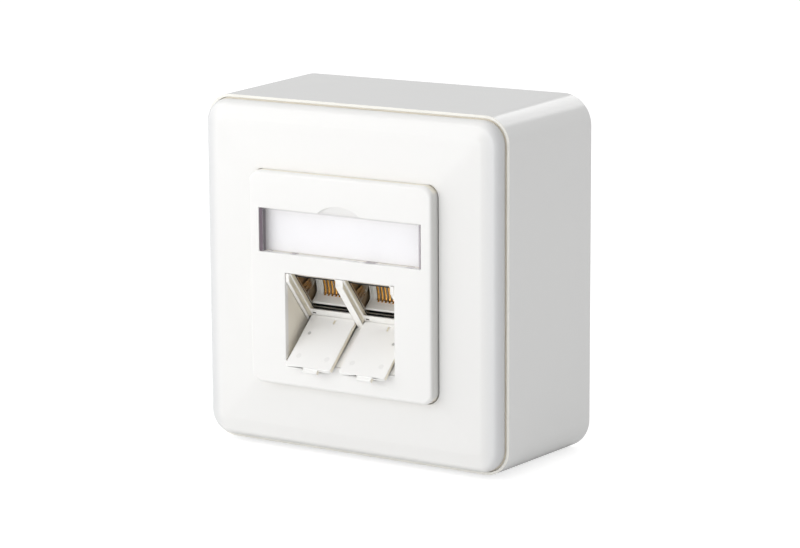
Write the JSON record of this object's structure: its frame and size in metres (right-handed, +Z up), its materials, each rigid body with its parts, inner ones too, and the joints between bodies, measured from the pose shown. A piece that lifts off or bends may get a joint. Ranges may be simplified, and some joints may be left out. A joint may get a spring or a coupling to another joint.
{
  "type": "surface mount jack box",
  "caption": "Square wall box with a stepped cover frame and a centre plate that has a label window and a recess where hinged dust flaps cover angled data jacks.",
  "frame": {"origin": "centre of the housing's flat back, in the wall plane", "axes": "+X right as seen from the front, +Y into the wall, +Z up; the ports face -Y and down"},
  "size_m": [0.0836, 0.0453, 0.0836],
  "materials": {
    "housing": "fine satin",
    "frame": "smooth satin gloss",
    "plate": "smooth satin gloss",
    "window": "clear, polished",
    "card": "plain paper card",
    "bezel": "moulded, satin",
    "flap": "smooth satin gloss",
    "shell": "nickel-plated, satin",
    "spring": "spring sheet, satin",
    "insert": "moulded, satin",
    "contact": "gold-plated",
    "board": "solder-masked laminate",
    "terminal": "moulded, satin",
    "cap": "moulded, satin",
    "holder": "moulded, satin",
    "steel": "zinc-plated sheet",
    "screw": "zinc-plated",
    "brass": "turned brass"
  },
  "bodies": {
    "box": {"surface_box": "housing", "cover_frame": "frame", "centre_plate": "plate", "label_window": "window", "label_card": "card", "port_bezel": "bezel", "support_frame": "steel", "module_holder": "holder", "device_screws": "screw", "plate_screws": "screw", "earth_blade": "brass", "left_jack_shell": "shell", "left_contact_carrier": "insert", "left_contact_comb": "insert", "left_contacts": "contact", "left_shield_springs": "spring", "left_circuit_board": "board", "left_terminal_block": "terminal", "left_wire_cap": "cap", "right_jack_shell": "shell", "right_contact_carrier": "insert", "right_contact_comb": "insert", "right_contacts": "contact", "right_shield_springs": "spring", "right_circuit_board": "board", "right_terminal_block": "terminal", "right_wire_cap": "cap"},
    "left_flap": {"left_dust_flap": "flap"},
    "right_flap": {"right_dust_flap": "flap"}
  },
  "joints": [
    {"name": "left_flap_hinge", "type": "hinge", "parent": "box", "child": "left_flap", "pos_m": [-0.0074, -0.03342, -0.01015], "axis": [-1, 0, 0], "range_deg": [0, 92.2]},
    {"name": "right_flap_hinge", "type": "hinge", "parent": "box", "child": "right_flap", "pos_m": [0.0074, -0.03342, -0.01015], "axis": [-1, 0, 0], "range_deg": [0, 92.2]}
  ]
}
